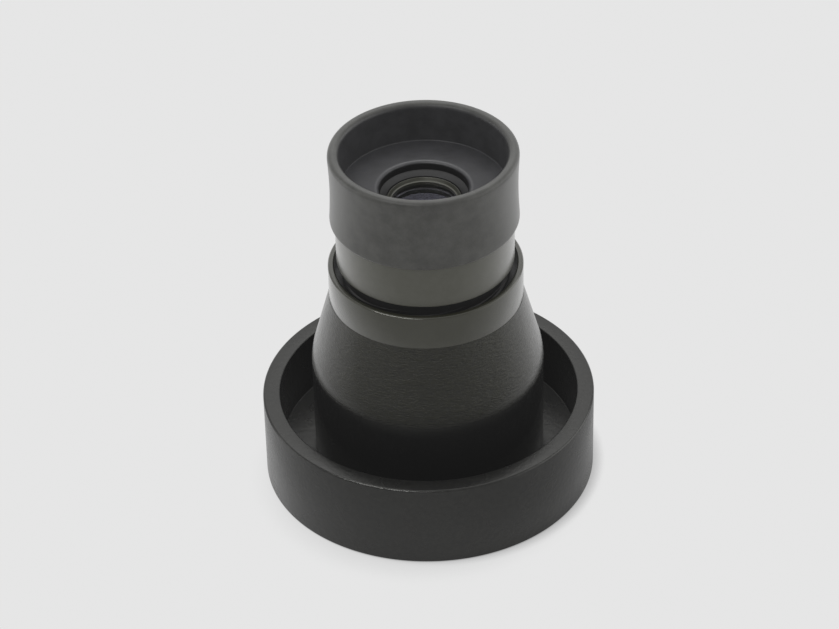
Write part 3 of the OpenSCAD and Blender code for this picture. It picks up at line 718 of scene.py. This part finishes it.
def floor_finish():
    finish = new_finish("floor_paper")
    near = openness(finish, 5.0, (-0.8, 0.2, 1.0))
    wide = openness(finish, 16.0, (0.2, 0.8, 1.0))
    lit = finish.band(near, 0.25, 0.65, 0.56, 1.0) * finish.band(wide, 0.22, 0.6, 0.8, 1.0)
    camera_ray, glossy_ray, glass_ray = [
        finish.add("ShaderNodeLightPath", output=name)
        for name in ("Is Camera Ray", "Is Glossy Ray", "Is Transmission Ray")]
    to_right = finish.add("ShaderNodeSeparateXYZ", {}, {0: finish.places()}, "X")
    # Painted shadow seen only in reflections: the floor to the right of the dish and near it is
    # darker for glossy rays.
    painted_shadow_zone = finish.band(to_right, 5, 40) * finish.band(finish.radius(), 55, 100, 1, 0)
    shadow_in_reflections = 1 - painted_shadow_zone * glossy_ray * 0.25
    pale = finish.blend(lit * shadow_in_reflections, (0, 0, 0, 1), (PALE, PALE, PALE, 1))
    even = finish.add("ShaderNodeEmission", {}, {"Color": pale, "Strength": 1.0})
    matte = finish.add("ShaderNodeBsdfDiffuse", {}, {"Color": (PALE, PALE, PALE, 1)})
    seen = finish.add("ShaderNodeMath", {"operation": "MAXIMUM"}, {0: glossy_ray, 1: glass_ray})
    seen = finish.add("ShaderNodeMath", {"operation": "MAXIMUM"}, {0: camera_ray, 1: seen})
    both = finish.add("ShaderNodeMixShader", {}, {0: seen, 1: matte, 2: even})
    finish.add("ShaderNodeOutputMaterial", {}, {"Surface": both})
    return finish.owner


bpy.ops.object.select_all(action="DESELECT")
bpy.ops.mesh.primitive_circle_add(vertices=96, radius=FLOOR_RADIUS, fill_type="NGON",
                                  location=(0, 0, 0))
floor = bpy.context.object
floor.name = "floor"
floor.data.materials.append(floor_finish())
print("the floor is a disc with a radius of", FLOOR_RADIUS, "m")

# %% [markdown]
# The light is that of a photographer's tent: soft white that grows from the horizon upwards, with
# one brighter patch high up behind, which the eye lens mirrors. The camera itself sees the plain
# grey of the floor instead, so that there is no horizon.

# %% Tent
world = bpy.data.worlds.new("tent")
bpy.context.scene.world = world
tent = Finish(world)
toward = tent.add("ShaderNodeTexCoord", output="Generated")
rise = tent.add("ShaderNodeVectorMath", {"operation": "DOT_PRODUCT"},
                {0: toward, 1: (0, 0.3, 0.954)}, "Value")
high = tent.add("ShaderNodeVectorMath", {"operation": "DOT_PRODUCT"},
                {0: toward, 1: (0, 0.423, 0.906)}, "Value")
glow = tent.band(rise, -0.1, 1.0, 0.25, 1.2) + tent.band(high, 0.88, 0.97, 0.0, 1.8)
soft = tent.add("ShaderNodeBackground", {}, {"Color": (1, 1, 1, 1), "Strength": glow})
plain = tent.add("ShaderNodeBackground", {}, {"Color": (PALE, PALE, PALE, 1)})
seen = tent.add("ShaderNodeLightPath", output="Is Camera Ray")
both = tent.add("ShaderNodeMixShader", {}, {0: seen, 1: soft, 2: plain})
tent.add("ShaderNodeOutputWorld", {}, {"Surface": both})
print("the tent is made of", len(tent.tree.nodes), "nodes")

# %% [markdown]
# A narrow strip light in front on the left draws the bright lines on the bevels of the dish and
# the collar. Two low softboxes, one on each side, light the flanks of the cone, the sleeve and
# the eyecup.

# %% Lamps


def softbox(name, azimuth, elevation, distance, width, height, radiance):
    """An area lamp that looks at the object; azimuth 0 is in front and +90 on the right."""
    side, lift = math.radians(azimuth), math.radians(elevation)
    spot = Vector((math.sin(side) * math.cos(lift), -math.cos(side) * math.cos(lift),
                   math.sin(lift))) * distance
    aim = (AIM - spot).to_track_quat("-Z", "Y").to_euler()
    bpy.ops.object.light_add(type="AREA", location=spot, rotation=aim)
    lamp = bpy.context.object
    lamp.name = name
    lamp.data.shape = "RECTANGLE"
    lamp.data.size = width
    lamp.data.size_y = height
    lamp.data.energy = radiance * math.pi * width * height
    print(name, "gives", round(lamp.data.energy, 2), "W")


softbox("strip_front", -37, 47, 1.0, 0.8, 0.05, 18.0)
softbox("softbox_left", -92, 10, 1.0, 0.7, 0.4, 2.0)
softbox("softbox_right", 88, 14, 1.0, 1.4, 0.8, 1.6)
